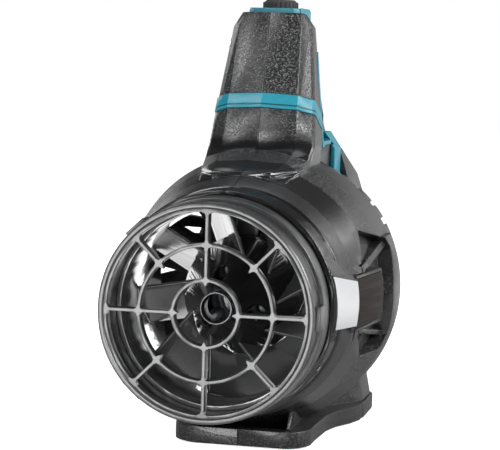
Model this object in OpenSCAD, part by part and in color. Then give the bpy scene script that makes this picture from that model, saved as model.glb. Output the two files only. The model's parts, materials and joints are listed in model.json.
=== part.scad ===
// Cordless axial leaf blower, power head without its blow tube.
// +Z is up and -Y is the way the air leaves. The origin lies under the middle of the foot.
// Inside the file, y is counted from the outlet rim; in_place() moves everything to the origin.

/* [Outlet] */
// Outer radius of the outlet rim
rim_r = 64; // [62:0.5:66]
// Wall of the collar at the rim
rim_wall = 3.2; // [2.6:0.1:3.6]
// Length of the rim ring
rim_len = 4; // [3:0.5:5]
// Depth of the bayonet channel behind the rim
channel_depth = 1; // [0.6:0.1:1.2]
// Distance from the rim to the end of the bayonet channel
channel_end = 21.5; // [20:0.5:23]
// How far the collar's band stands proud of the rim
collar_step = 1.7; // [1:0.1:2.2]
// Distance from the rim to the end of the collar's band
collar_end = 36; // [34:0.5:37]
// Width of a bayonet lug around the collar
lug_w = 14; // [10:0.5:16]
// Length of a bayonet lug along the collar
lug_len = 12; // [8:0.5:13]
// How far a lug stands out of its channel
lug_out = 3.2; // [2.4:0.2:5]
// Radius of the guard's inner ring
guard_in_r = 19.4; // [16:0.2:22]
// Radius of the guard's middle ring
guard_mid_r = 39.6; // [36:0.2:42]
// Width of the guard's ribs
rib_w = 2; // [1.4:0.1:2.6]
// Depth of the guard's ribs
rib_depth = 7; // [5:0.5:9]

/* [Air duct] */
// Step from the collar's bore down to the duct's bore
duct_step = 2.9; // [2.4:0.1:3.2]
// Wall of the duct
duct_wall = 2.2; // [1.8:0.1:2.6]
// Distance from the rim to the front of the duct
duct_front = 27.4; // [26:0.2:30]
// Room between the duct at the fan and the inside of the body
duct_room = 10.5; // [9:0.5:13]
// Number of flow vanes
vane_count = 9; // [7:1:11]
// Lean of the vanes to the air flow
vane_lean = 26; // [18:1:30]
// Thickness of a vane
vane_t = 1.8; // [1.4:0.1:2.4]
// Outer radius of the motor pod
pod_r = 37; // [35:0.5:38]
// Outer radius of the boss at the tip of the nose cone
nose_r = 10; // [8:0.5:12]

/* [Motor and fan] */
// Outer radius of the motor can
motor_r = 26; // [24:0.5:28]
// Length of the motor can
motor_len = 48; // [44:1:50]
// Radius of the motor shaft
shaft_r = 4; // [3:0.5:5]
// Outer radius of the two ball bearings
bearing_r = 11; // [9.5:0.5:12]
// Width of a ball bearing
bearing_w = 7; // [5:0.5:8]
// Number of fan blades
blade_count = 9; // [7:1:11]
// Gap between blade tips and duct
tip_gap = 1; // [0.6:0.1:1.6]
// Thickness of a blade
blade_t = 2.2; // [1.6:0.1:2.6]

/* [Body] */
// Gap between the ground and the underside of the body
ground_gap = 7; // [5:0.5:9]
// Largest radius of the body
body_r = 89; // [87:0.5:90]
// How far the top of the largest ring lies inside its flanks
crown_drop = 2.7; // [1.5:0.1:3.5]
// Height over the duct's axis at which the lower top of the ring begins
crown_from = 36; // [30:1:42]
// Wall of the housing
shell_t = 2.8; // [2.2:0.1:3.2]
// Radius of the ring that carries the collar
front_ring_r = 68.6; // [68:0.1:69.4]
// Radius at the first crease
shoulder_r = 74.4; // [73:0.2:76]
// How far the second crease lies inside the largest ring
flank_drop = 7.9; // [6:0.1:9]
// Distance from the rim to the largest ring
body_front = 137; // [132:1:140]
// Distance from the rim to the joint with the intake cover
body_end = 178; // [176:1:180]
// Radius of the intake cover at its rear wall
cover_rear_r = 58; // [54:1:62]
// Distance from the rim to the rear wall of the intake cover
cover_end = 270; // [268:0.5:271]
// Number of intake slots on the full circle
slot_count = 36; // [28:2:40]
// Width of an intake slot
slot_w = 4.8; // [3:0.2:5.4]
// Height of the label plates
label_h = 31; // [26:1:34]
// Distance from the rim to the rear end of the label plates
label_end = 124; // [120:1:127]

/* [Neck and handle] */
// Backward lean of the neck
lean = 18.5; // [17:0.5:20]
// Height of the middle of the teal band over the body
band_up = 32; // [30:0.5:34]
// Height of the teal band
band_h = 9.8; // [8:0.2:11]
// Half width of the neck at the band
neck_half_w = 32.4; // [31:0.2:34]
// Height of the top of the handle over the body
handle_up = 88.6; // [86:0.2:91]
// Half width of the grip
grip_half_w = 17; // [15.5:0.5:18.5]
// Thickness of the lining of the finger opening
liner_t = 3; // [2:0.5:3.5]
// How far the teal pieces stand proud of the neck
trim_out = 0.8; // [0.6:0.1:1.2]

/* [Controls] */
// Radius of the speed dial
dial_r = 11.8; // [10:0.2:12.6]
// Height of the speed dial over its bezel
dial_h = 6; // [4:0.5:7]
// Number of ribs round the speed dial
dial_ribs = 24; // [16:2:28]
// Radius of the trigger's pin
pin_r = 2; // [1.5:0.1:2.5]
// Half width of the trigger
trigger_half_w = 8; // [7:0.5:9]

/* [Battery] */
// Width of the battery pack
pack_w = 75; // [70:1:78]
// Length of the battery pack
pack_len = 112; // [104:1:120]
// Height of the battery case
pack_h = 52; // [46:1:56]
// Wall of the battery case
pack_t = 2.4; // [2:0.1:3]
// Half width of the rail on the battery lid
rail_half_w = 31; // [28:0.5:32]
// Radius of a battery cell
cell_r = 9.1; // [8:0.1:9.2]

/* [Foot] */
// Half width of the foot's front pad
pad_half_w = 44; // [40:1:48]
// Half width of the foot's rear pad
heel_half_w = 61.5; // [58:0.5:64]
// Distance from the rim to the front of the foot
foot_front = 95; // [92:1:98]
// Distance from the rim to the back of the foot
foot_back = 261; // [256:1:264]
// Height of the foot's rim
foot_h = 11.5; // [10:0.5:13]
// Thickness of the rubber sole
sole_t = 2.4; // [2:0.2:3]

/* [Hidden] */
$fn = 72;

// Colours
shell_black = [0.13, 0.13, 0.14];
gloss_black = [0.06, 0.06, 0.07];
teal = [0.10, 0.47, 0.56];
rubber_black = [0.05, 0.05, 0.05];
steel = [0.62, 0.63, 0.65];

// Gaps
seat_gap = 0.3;    // between pieces that are pushed together
run_gap = 0.05;    // between a shaft and its bore
slide_gap = 0.4;   // between sliding pieces
scoop_t = 2.4;     // wall behind the side scoops
eps = 0.01;
far = 400;

// Heights that follow the driving ones
axis_z = body_r + ground_gap;
crown_z = axis_z + body_r;
deck_z = crown_z + 1;
band_z = crown_z + band_up;
top_z = crown_z + handle_up;
dock_z = axis_z + 38;

// Places along the duct, counted from the rim
foot_mid = (foot_front + foot_back) / 2;
ring_front = collar_end + 6;
ring_back = ring_front + 24;
shoulder_y = ring_back + 16.6;
flank_y = shoulder_y + 26.9;
sleeve_end = ring_front + 16;
cone_start = sleeve_end + 2;
cone_end = 130;
pod_front = 96;
pod_back = 138;
fan_front = pod_back + 3;
fan_len = 30;
fan_back = fan_front + fan_len;
motor_front = pod_back - 3 - motor_len;
nose_screw_r = 17.8;
nose_screw_angles = [-15, 105, 225];
rear_screw_angles = [40, 160, 280];
rear_screw_r = 18;

// Radii that follow the driving ones
bore_r = rim_r - rim_wall;
channel_r = rim_r - channel_depth;
collar_r = rim_r + collar_step;
duct_r = bore_r - duct_step;
sleeve_r = front_ring_r - 3.5;
cone_foot_r = front_ring_r + 1.2;
crown_r = body_r - crown_drop;
fan_duct_r = crown_r - shell_t - duct_room;
flank_r = body_r - flank_drop;
label_front_r = front_ring_r + 0.8;
label_r = body_r - 12.6;
label_end_r = body_r - 3.7;

// A height in the handle, h over the deck on a handle of the usual height
function up(h) = deck_z + h * (top_z - deck_z) / 87.6;

// The neck's front line and half width at a height
function neck_front(z) = 138.2 + (z - band_z) * tan(lean);
function neck_half(z) = neck_half_w - (z - band_z) * (z > band_z ? 0.12 : 0.09);
function neck_back(z) = 183.5 + max(0, z - band_z) * 0.07;

// The back wall is thicker, as the lining is let into it
function back_inset(i) = i > 0 ? i + 3.2 : i;

// ---------- shared shapes ----------

module in_place() translate([0, -foot_mid, 0]) children();

// Turns an outline of [radius, y] points about the duct's axis
module turned(outline) translate([0, 0, axis_z]) rotate([-90, 0, 0]) rotate_extrude() polygon(outline);

// Puts children on the duct's axis at y, with local z along +Y, turned by an angle seen from the outlet
module on_axis(y, angle = 0) translate([0, y, axis_z]) rotate([-90, 0, 0]) rotate([0, 0, -angle]) children();

module tube_y(y0, y1, outer, inner) turned([[inner, y0], [outer, y0], [outer, y1], [inner, y1]]);

module disc_y(y0, y1, r) turned([[0, y0], [r, y0], [r, y1], [0, y1]]);

// Extrudes a [y, z] outline across X, from x0 to x1
module across(x0, x1) translate([x0, 0, 0]) rotate([90, 0, 90]) linear_extrude(x1 - x0) children();

// The half of space on one side of the parting plane, -1 left and +1 right
module half_space(side) translate([side < 0 ? -far : 0, -far, -far]) cube([far, 3 * far, 2 * far]);

// The space above or below a plane square to the leaning neck
module neck_space(offset, up) translate([0, 138.2, band_z]) rotate([-lean, 0, 0])
    translate([-far / 2, -far / 2, up ? offset : offset - far]) cube(far);

module rounded(size, r) {
    square([size[0], size[1] - 2 * r], center = true);
    square([size[0] - 2 * r, size[1]], center = true);
    for (sx = [-1, 1], sy = [-1, 1])
        translate([sx * (size[0] / 2 - r), sy * (size[1] / 2 - r)]) circle(r);
}

// A skin through rings of equal point counts, closed at both ends. The rings turn counterclockwise
// when the path comes towards the eye.
module loft(rings) {
    n = len(rings[0]);
    m = len(rings);
    points = [for (ring = rings) for (p = ring) p];
    sides = [for (k = [0 : m - 2]) for (j = [0 : n - 1]) for (t = [0, 1])
        let (a = k * n + j, b = k * n + (j + 1) % n)
        t == 0 ? [a, b + n, b] : [a, a + n, b + n]];
    first = [for (j = [1 : n - 2]) [0, j, j + 1]];
    last = [for (j = [1 : n - 2]) [(m - 1) * n, (m - 1) * n + j + 1, (m - 1) * n + j]];
    polyhedron(points, concat(sides, first, last));
}

// A machine screw with a cross recess, head at z = 0 and shank down to -length
module screw(length, r, head_r, head_h) difference() {
    union() {
        cylinder(h = head_h, r = head_r);
        translate([0, 0, -length]) cylinder(h = length + eps, r = r);
    }
    for (a = [0, 90]) rotate([0, 0, a])
        translate([-head_r * 0.6, -0.5, head_h - 1]) cube([head_r * 1.2, 1, 2]);
}

// ---------- outlet ----------

module outlet_collar() color(gloss_black) in_place() {
    lug_angles = [0, 133, 227];
    lug_y = rim_len + 3.5;
    turned([[bore_r, 0.8], [bore_r + 0.8, 0], [rim_r - 0.8, 0], [rim_r, 0.8], [rim_r, rim_len],
            [channel_r, rim_len + 0.6], [channel_r, channel_end], [collar_r - 0.4, channel_end],
            [collar_r, channel_end + 0.8], [collar_r + 0.4, collar_end], [channel_r, collar_end],
            [channel_r, ring_front], [sleeve_r - seat_gap, ring_front],
            [sleeve_r - seat_gap, sleeve_end], [bore_r, sleeve_end]]);
    for (a = lug_angles) on_axis(lug_y, a)
        translate([channel_r - 1, -lug_w / 2, 0]) cube([lug_out + 1, lug_w, lug_len]);
}

module collar_seal() color(rubber_black) in_place()
    tube_y(collar_end + 0.2, ring_front - 0.2, collar_r - 0.9, channel_r + 0.05);

module guard_outline() {
    seat_r = bore_r - 0.05;
    for (r = [guard_in_r, guard_mid_r, seat_r - rib_w / 2]) difference() {
        circle(r + rib_w / 2);
        circle(r - rib_w / 2);
    }
    for (k = [0 : 7]) rotate(k * 45) {
        inner = k % 2 == 0 ? guard_in_r : guard_mid_r;
        translate([inner, -rib_w / 2]) square([seat_r - rib_w / 2 - inner, rib_w]);
    }
}

module outlet_grille() color(gloss_black) in_place() on_axis(0.6) linear_extrude(rib_depth) guard_outline();

// ---------- duct, motor and fan ----------

module duct_bore(shrink = 0) turned([[0, duct_front - 1], [duct_r - shrink, duct_front - 1],
    [duct_r - shrink, cone_start], [fan_duct_r - shrink, cone_end], [fan_duct_r - shrink, body_end + 1],
    [0, body_end + 1]]);

module pod_solid(grow = 0) turned([[0, duct_front], [nose_r + grow, duct_front], [nose_r + grow, 40],
    [pod_r + grow, pod_front], [pod_r + grow, pod_back], [0, pod_back]]);

module vanes() intersection() {
    for (k = [0 : vane_count - 1]) on_axis(pod_front + 8, 90 + (k + 0.5) * 360 / vane_count)
        rotate([vane_lean, 0, 0]) translate([14, -vane_t / 2, -33]) cube([66, vane_t, 62]);
    difference() {
        duct_bore(-duct_wall / 2);
        pod_solid(0.3);
        disc_y(0, 66, far);
        disc_y(pod_back - 4, 200, far);
    }
}

// Hollow strut that leads the motor's wires to the neck
module strut(grow = 0) on_axis(116, 90)
    translate([pod_r - 2 - grow, -7 + grow, -9 + grow]) cube([42, 14 - 2 * grow, 18 - 2 * grow]);

module stator_duct() color(gloss_black) in_place() {
    flange_r = crown_r - shell_t - 0.1;
    difference() {
        union() {
            turned([[duct_r, duct_front], [bore_r - 0.1, duct_front], [bore_r - 0.1, cone_start],
                    [fan_duct_r + duct_wall, cone_end], [fan_duct_r + duct_wall, body_end - 10],
                    [flange_r, body_end - 10], [flange_r, body_end - 7], [fan_duct_r, body_end - 7],
                    [fan_duct_r, cone_end], [duct_r, cone_start]]);
            intersection() {
                strut();
                duct_bore(-duct_wall / 2);
            }
        }
        intersection() {
            strut(1.6);
            disc_y(60, 160, 90);
        }
    }
    vanes();
    difference() {
        turned([[pod_r - 2.4, pod_front], [pod_r, pod_front], [pod_r, pod_back], [motor_r + 1, pod_back],
                [bearing_r - 3, pod_back], [bearing_r - 3, pod_back - 3],
                [pod_r - 2.4, pod_back - 3]]);
        strut(1.6);
        for (a = rear_screw_angles) on_axis(pod_back - 5, a) translate([rear_screw_r, 0, 0]) cylinder(h = 8, r = 2.1);
    }
}

module nose_pockets(r, y0, y1) for (a = nose_screw_angles)
    on_axis(y0, a) translate([nose_screw_r, 0, 0]) cylinder(h = y1 - y0, r = r);

module nose_cone() color(gloss_black) in_place() {
    t = 2.2;
    pocket_r = 4.2;
    difference() {
        union() {
            turned([[nose_r - 1.5, duct_front], [nose_r, duct_front], [nose_r, 40], [pod_r, pod_front],
                    [pod_r - 2.7, pod_front], [pod_r - 2.7, pod_front + 6], [pod_r - 4.7, pod_front + 6],
                    [pod_r - t - 2.5, pod_front - 2], [nose_r + 1, 40 + t], [nose_r - 1.5, 40 + t]]);
            intersection() {
                nose_pockets(pocket_r + 1.6, 45, motor_front - 0.1);
                pod_solid();
            }
        }
        nose_pockets(pocket_r, 30, motor_front - 2.6);
        nose_pockets(2.1, 30, motor_front + 1);
    }
}

module nose_screws() color(steel) in_place() for (a = nose_screw_angles)
    on_axis(motor_front - 2.6, a) translate([nose_screw_r, 0, 0]) rotate([180, 0, 0]) screw(9, 1.9, 3.6, 2.2);

module motor_can() color([0.3, 0.3, 0.32]) in_place() difference() {
    turned([[bearing_r + 0.02, motor_front], [motor_r, motor_front], [motor_r, motor_front + motor_len],
            [bearing_r + 0.02, motor_front + motor_len], [bearing_r + 0.02, motor_front + motor_len - 8],
            [motor_r - 2, motor_front + motor_len - 8], [motor_r - 2, motor_front + 8],
            [bearing_r + 0.02, motor_front + 8]]);
    for (a = nose_screw_angles) on_axis(motor_front - 1, a) translate([nose_screw_r, 0, 0]) cylinder(h = 12, r = 1.95);
    for (a = rear_screw_angles) on_axis(motor_front + motor_len - 8, a)
        translate([rear_screw_r, 0, 0]) cylinder(h = 12, r = 1.95);
    for (k = [0 : 5]) on_axis(motor_front + 14, k * 60)
        translate([motor_r - 5, -4, 0]) cube([8, 8, motor_len - 28]);
}

module motor_coils() color([0.62, 0.33, 0.16]) in_place()
    tube_y(motor_front + 11, motor_front + motor_len - 11, motor_r - 2.1, 14.5);

module motor_rotor() color([0.35, 0.35, 0.37]) in_place()
    tube_y(motor_front + 10, motor_front + motor_len - 10, 13.8, shaft_r);

module motor_shaft() color(steel) in_place() disc_y(motor_front - 4, fan_back + 10, shaft_r);

module bearing(y) {
    tube_y(y, y + bearing_w, bearing_r, bearing_r - 2);
    tube_y(y, y + bearing_w, shaft_r + 2, shaft_r + run_gap);
    tube_y(y + 1, y + bearing_w - 1, bearing_r - 2 + eps, shaft_r + 2 - eps);
}

module bearing_front() color(steel) in_place() bearing(motor_front + 0.5);

module bearing_rear() color(steel) in_place() bearing(motor_front + motor_len - bearing_w - 0.5);

module motor_screws() color(steel) in_place() for (a = rear_screw_angles)
    on_axis(pod_back + 0.1, a) translate([rear_screw_r, 0, 0]) screw(9, 1.9, 3.4, 2);

blade_root_r = pod_r - 1.5;
blade_tip_r = fan_duct_r - tip_gap;

// Outline of a blade on the cylinder of radius r: chord along the lean angle, cambered, both faces
function blade_ring(r) = let (
        share = (r - blade_root_r) / (blade_tip_r - blade_root_r),
        turn = 52 - 22 * share,
        chord = 27 + 6 * share,
        side = [for (k = [0 : 6]) [chord * (k / 6 - 0.5), 3.2 * sin(k * 30)]],
        outline = concat([for (p = side) [p[0], p[1] - blade_t / 2]],
                         [for (k = [6 : -1 : 0]) [side[k][0], side[k][1] + blade_t / 2]]))
    [for (p = outline) let (around = (p[0] * cos(turn) - p[1] * sin(turn)) / r * 180 / PI)
        [r * cos(around), r * sin(around), p[0] * sin(turn) + p[1] * cos(turn)]];

module fan() color([0.16, 0.16, 0.17]) in_place() {
    turned([[shaft_r, fan_front], [shaft_r + 8, fan_front], [shaft_r + 8, fan_back - 5],
            [pod_r - 3, fan_back - 8], [pod_r - 3, fan_front], [pod_r, fan_front],
            [pod_r, fan_back - 5], [pod_r - 4, fan_back], [shaft_r, fan_back]]);
    for (k = [0 : blade_count - 1]) on_axis((fan_front + fan_back) / 2, k * 360 / blade_count)
        loft([for (j = [0 : 3]) blade_ring(blade_root_r + j * (blade_tip_r - blade_root_r) / 3)]);
}

module fan_nut() color(steel) in_place() difference() {
    on_axis(fan_back + 0.1) cylinder(h = 6, r = 7, $fn = 6);
    disc_y(fan_back - 1, fan_back + 9, shaft_r);
}

module fan_spinner() color([0.16, 0.16, 0.17]) in_place() difference() {
    on_axis(fan_back) rotate_extrude()
        polygon(concat([[0, 0]], [for (a = [0 : 10 : 90]) [(pod_r - 5) * cos(a), 18 * sin(a)]]));
    disc_y(fan_back - 1, fan_back + 11, 9);
}

// ---------- housing ----------

module body_outer() difference() {
    turned([[0, ring_front], [front_ring_r, ring_front], [front_ring_r, ring_back],
        [cone_foot_r, ring_back + 0.2], [shoulder_r, shoulder_y], [flank_r, flank_y],
        [body_r, body_front], [body_r, body_end - 4], [body_r - 0.9, body_end], [0, body_end]]);
    intersection() {
        turned([[flank_r + 0.1, flank_y], [crown_r, body_front], [crown_r, body_end - 4],
            [crown_r - 1.1, body_end + 1], [body_r + 9, body_end + 1], [body_r + 9, flank_y]]);
        translate([-far / 2, 0, axis_z + crown_from]) cube(far);
    }
}

module body_inner() turned([[0, ring_front - 1], [sleeve_r, ring_front - 1], [sleeve_r, ring_back - 3],
    [cone_foot_r - shell_t, ring_back], [shoulder_r - shell_t, shoulder_y + 1],
    [flank_r - shell_t, flank_y + 1], [crown_r - shell_t, body_front + 1],
    [crown_r - shell_t, body_end + 1], [0, body_end + 1]]);

cover_line = [[crown_r - 0.9, body_end], [crown_r - 2.1, 200], [crown_r - 7.3, 235], [crown_r - 15.3, 260],
    [cover_rear_r, cover_end]];

module cover_outer(grow = 0) turned(concat([[0, body_end]],
    [for (p = cover_line) [p[0] + grow, p[1]]], [[0, cover_end]]));

// Half outline of the neck at one height: ridge, facet end, chamfer end, side front, side back
function neck_ring(z, front, facet, chamfer, side, back) = let (
        half = [[facet[0], front + facet[1]], [chamfer[0], front + chamfer[1]],
                [side[0], front + side[1]], [side[0] - 2, back]])
    concat([[0, front, z]], [for (p = half) [p[0], p[1], z]],
           [for (k = [3 : -1 : 0]) [-half[k][0], half[k][1], z]]);

// A ring of the straight part of the neck and post, moved inwards by i
function post_ring(z, i) = neck_ring(z, neck_front(z) + i,
    [22.6 - (z - band_z) * 0.04 - 0.5 * i, 3.9], [neck_half(z) - 1.8 - 0.8 * i, 11.8 - 0.3 * i],
    [neck_half(z) - i, 15 - 0.5 * i], neck_back(z) - back_inset(i));

// The flared base of the neck, from inside the body up to the straight part
function base_rings(i) = [
    neck_ring(crown_z - 35, 85 + i, [18.3 - i, -0.9], [26.9 - i, 3.6], [33 - i, 30], 178 - i),
    neck_ring(crown_z - 17 - i, 85 + i, [18.3 - i, -0.9], [26.9 - i, 3.6], [33 - i, 30], 178 - i),
    neck_ring(crown_z - 14 - i, 86 + i, [18.3 - i, -1.9], [29.6 - i, 17], [33.6 - i, 32], 178 - i),
    neck_ring(crown_z - 11.6 - i, 87.5 + i, [18.6 - i, -2.6], [31.8 - i, 25], [34 - i, 34], 178 - i),
    neck_ring(crown_z - 9.4 - i, 97 + i, [20.5 - i, 0.5], [33.2 - i, 24], [34.3 - i, 32], 178 - i),
    neck_ring(crown_z - 5.4 - i, 110 + i, [22.8 - i, 4.5], [33.6 - i, 18], [34.3 - i, 22], 178 - i),
    neck_ring(crown_z - 1.7 - i, 121 + i, [23.4 - i, 3], [33.4 - i, 11], [34.6 - i, 15], 177 - i),
    neck_ring(crown_z + 3 - i, 128.6 + i, [23.6 - 0.8 * i, 3.2], [33.1 - 0.9 * i, 10], [34.9 - i, 14], 183.5 - back_inset(i))];

module neck_form(i = 0) loft(concat(base_rings(i), [for (z = [crown_z + 14, band_z + 13]) post_ring(z, i)]));

// The label plates lie on a cone round the duct's axis, between two slightly rising lines
module label_cone(i = 0) turned([[0, ring_front + 1], [label_front_r - i, ring_front + 1], [label_r - i, 80.5],
    [label_end_r - i, label_end], [label_end_r - i - 2.2, label_end + 2.5], [0, label_end + 2.5]]);

module label_outline(i, y0, y1) across(-far, far) polygon([
    [y0, axis_z - label_h / 2 + i], [y1, axis_z - label_h / 2 + 2.4 + i],
    [y1, axis_z + label_h / 2 + 1.2 - i], [y0, axis_z + label_h / 2 - i]]);

// Raised bed that carries the label plate
module label_bed(side, i = 0) intersection() {
    label_cone(i);
    label_outline(i - 2, 80.4, label_end + 3);
    translate([side < 0 ? -100 : 60, 0, 0]) cube([40, far, 200]);
}

// One end of the wedge in front of the bed: four points [x, height over the axis]
function wedge_ring(side, y, points) = [for (k = [0 : 3]) let (q = points[side > 0 ? k : 3 - k])
    [side * q[0], y, axis_z + q[1]]];

// The wedge that carries the bed's line on to the outlet
module label_wedge(side) intersection() {
    label_cone();
    loft([wedge_ring(side, ring_front + 1, [[front_ring_r - 8.6, 32.3], [front_ring_r + 3.4, 10.9],
            [front_ring_r + 3.4, -1.9], [front_ring_r - 8.6, -33.4]]),
        wedge_ring(side, 82, [[body_r - 29, 31.2], [body_r - 9, 8.8], [body_r - 9, -10.1], [body_r - 29, -23.2]])]);
}

// The floor of the side scoop, a cone inside the body's flank, and the scoop's outline seen from the side
module scoop_floor(i = 0) turned([[0, 70], [body_r - 13 - i, 70], [body_r - 12.4 - i, 95], [body_r - 9.4 - i, 162],
    [0, 162]]);

module scoop_outline(i = 0) polygon([
    [111 - i, axis_z + 42.4 + i], [97 - i, axis_z + 22.7], [92 - i, axis_z], [93 - i, axis_z - 20.5],
    [111 - i, axis_z - 36 - i], [135 + i, axis_z - 35 - i], [147 + i, axis_z - 27 - i], [144 + i, axis_z - 14],
    [142.5 + i, axis_z], [145 + i, axis_z + 13], [155 + i, axis_z + 28.5 + i], [147 + i, axis_z + 35.5 + i]]);

// A rib across the scoop between two places [y, z]
module scoop_rib(a, b, w) intersection() {
    across(-far, far) polygon([[a[0], a[1] - w], [b[0], b[1] - w], [b[0], b[1] + w], [a[0], a[1] + w]]);
    turned([[0, 90], [body_r - 11, 90], [body_r - 10, 104], [body_r - 2.8, 155], [0, 155]]);
}

module side_scoop(side) difference() {
    across(side > 0 ? 50 : -100, side > 0 ? 100 : -50) scoop_outline();
    scoop_floor();
    label_bed(side);
    scoop_rib([96, axis_z + 19.5], [154, axis_z + 31.5], 2.2);
    scoop_rib([94, axis_z - 18], [148, axis_z - 26], 1.6);
}

// What stays of the housing's wall behind the scoop
module scoop_wall(side) difference() {
    across(side > 0 ? 50 : -100, side > 0 ? 100 : -50) scoop_outline(scoop_t);
    scoop_floor(scoop_t);
}

module pedestal(i = 0) {
    translate([0, foot_front + 95, 0]) rotate([90, 0, 0]) linear_extrude(87)
        polygon([[i - 31, 6 - i], [i - 36, 36], [36 - i, 36], [31 - i, 6 - i]]);
    heel = heel_half_w - 1.5;
    loft([for (cut = [[foot_back - 76 + i, 36, 38, 38, 30, 48],
                      [foot_back - 38, heel, heel - 4.5, heel - 7, 33, 46],
                      [foot_back - 5 - i, heel, heel - 4.5, heel - 9, 29, 38]])
        let (half = [[cut[1] - i, 6 - i], [cut[2] - i, cut[4] - i], [cut[3] - i, cut[5] - i]])
        [for (p = concat(half, [for (k = [2 : -1 : 0]) [-half[k][0], half[k][1]]])) [-p[0], cut[0], p[1]]]]);
}

module foot_plan(i = 0) {
    pad_len = 52;
    heel_len = 58;
    translate([0, foot_front + pad_len / 2]) rounded([2 * (pad_half_w - i), pad_len - 2 * i], 17 - i);
    translate([0, foot_back - heel_len / 2]) rounded([2 * (heel_half_w - i), heel_len - 2 * i], 11 - i);
    half = [[pad_half_w - i, foot_front + 30], [pad_half_w + 1.5 - i, foot_front + 62],
            [pad_half_w + 5.5 - i, foot_front + 79], [heel_half_w - 5 - i, foot_back - 72],
            [heel_half_w - 1 - i, foot_back - 59 + i], [heel_half_w - 1 - i, foot_back - 25]];
    polygon(concat(half, [for (k = [len(half) - 1 : -1 : 0]) [-half[k][0], half[k][1]]]));
}

module foot() difference() {
    union() {
        translate([0, 0, 1]) linear_extrude(foot_h - 1) foot_plan();
        pedestal();
    }
    translate([0, 0, -1]) linear_extrude(foot_h - 2) foot_plan(3);
    difference() {
        pedestal(3);
        cover_outer(3.4);
        body_outer();
    }
    cover_outer(0.6);
}

// Places of the screws that hold the two halves together, as [y, z]
housing_screw_places = [[172.6, crown_z + 6], [foot_back - 11.5, 15.8]];
handle_screw_places = [[169, up(66)], [224, up(66.5)], [262, up(14)]];

// Solid round a screw, from the outside to the parting plane
module screw_post(place) translate([0, place[0], place[1]]) rotate([0, 90, 0]) cylinder(h = 160, r = 5.2, center = true);

// Deep pocket from the left, clearance hole and pilot hole
module screw_cut(place) translate([0, place[0], place[1]]) {
    rotate([0, -90, 0]) translate([0, 0, 8]) cylinder(h = far, r = 4);
    rotate([0, -90, 0]) translate([0, 0, -eps]) cylinder(h = 10, r = 2.1);
    rotate([0, 90, 0]) translate([0, 0, -eps]) cylinder(h = 11, r = 1.9);
}

module side_screws(places) for (p = places)
    translate([-8, p[0], p[1]]) rotate([0, -90, 0]) screw(17, 1.85, 3.6, 2.4);

// Slotted rib that carries an edge of the control board
module board_rail(side) difference() {
    translate([side < 0 ? -40 : 23, 161, deck_z]) cube([17, 8, 21]);
    control_board_plate(0.15);
}

module housing(side) difference() {
    intersection() {
        union() {
            difference() {
                union() {
                    body_outer();
                    intersection() {
                        neck_form();
                        neck_space(-band_h / 2, false);
                    }
                    label_bed(side);
                    label_wedge(side);
                    foot();
                }
                difference() {
                    body_inner();
                    scoop_wall(side);
                }
                neck_form(shell_t);
            }
            intersection() {
                union() {
                    for (p = housing_screw_places) screw_post(p);
                    board_rail(side);
                }
                union() {
                    neck_form(1);
                    pedestal();
                }
                neck_space(-band_h / 2, false);
            }
        }
        half_space(side);
    }
    for (p = housing_screw_places) screw_cut(p);
    label_seat(side);
    side_scoop(side);
    across(-far, far) opening_outline(liner_t);
    across(-far, far) polygon([[body_end, crown_z - 35], [body_end, deck_z], [300, deck_z], [300, crown_z - 35]]);
}

// The seat of the label plate, sunk into its pad
module label_seat(side, i = 0) intersection() {
    difference() {
        label_outline(i, 81.4 + i, label_end - 0.8 - i);
        label_cone(1.2);
    }
    translate([side < 0 ? -100 : 60, 0, 0]) cube([40, far, 200]);
}

module housing_left() color(shell_black) in_place() housing(-1);

module housing_right() color(shell_black) in_place() housing(1);

module label_plate(side) intersection() {
    label_seat(side, 0.2);
    label_bed(side, 0.1);
}

module label_left() color([0.16, 0.12, 0.10]) in_place() label_plate(-1);

module label_right() color([0.16, 0.12, 0.10]) in_place() label_plate(1);

module housing_screws() color(steel) in_place() side_screws(housing_screw_places);

module intake_cover() color(shell_black) in_place() {
    t = 2.6;
    spigot_r = crown_r - shell_t - 0.2;
    difference() {
        turned(concat([[spigot_r, body_end - 7], [spigot_r, body_end]], cover_line,
            [[0, cover_end], [0, cover_end - t], [cover_rear_r - 1, cover_end - t],
            [crown_r - 15.3 - t, 258.5], [crown_r - 7.3 - t, 234.5], [crown_r - 2.1 - t, 199.8],
            [spigot_r - t, body_end], [spigot_r - t, body_end - 7]]));
        for (k = [0 : slot_count - 1]) {
            angle = 90 + k * 360 / slot_count;
            from_top = abs(((angle - 90 + 180) % 360) - 180);
            if (from_top > 26 && from_top < 138)
                on_axis(body_end + 10, angle) translate([crown_r - 24.3, -slot_w / 2, 0]) cube([30, slot_w, 68]);
        }
    }
}

// ---------- handle ----------

module neck_band() color(teal) in_place() difference() {
    intersection() {
        loft([for (z = [band_z - 27, band_z + 28]) post_ring(z, -trim_out)]);
        neck_space(-band_h / 2, true);
        neck_space(band_h / 2, false);
    }
    loft([for (z = [band_z - 32, band_z + 33]) post_ring(z, shell_t)]);
    across(-far, far) opening_outline(liner_t);
}

// Upper block of the post, with its bevelled top
module post_form(i = 0) loft([post_ring(band_z - 17, i), post_ring(top_z - 9, i),
    neck_ring(top_z - i, neck_front(top_z) + i, [16 - i, 2.6], [19.4 - i, 6], [20 - i, 10],
    187.4 - back_inset(i))]);

// One ring of the grip: a squircle between its outer point t and its inner point b, as [y, z]
function grip_ring(t, b, half_w, i) = let (
        d = t - b,
        u = d / norm(d),
        c = (t + b) / 2,
        half_d = norm(d) / 2 - i,
        e = 2 / 2.8)
    [for (k = [0 : 15]) let (a = -k * 22.5, p = cos(a), q = sin(a),
            x = (half_w - i) * sign(p) * pow(abs(p), e), v = half_d * sign(q) * pow(abs(q), e))
        [x, c[0] + u[0] * v, c[1] + u[1] * v]];

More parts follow.
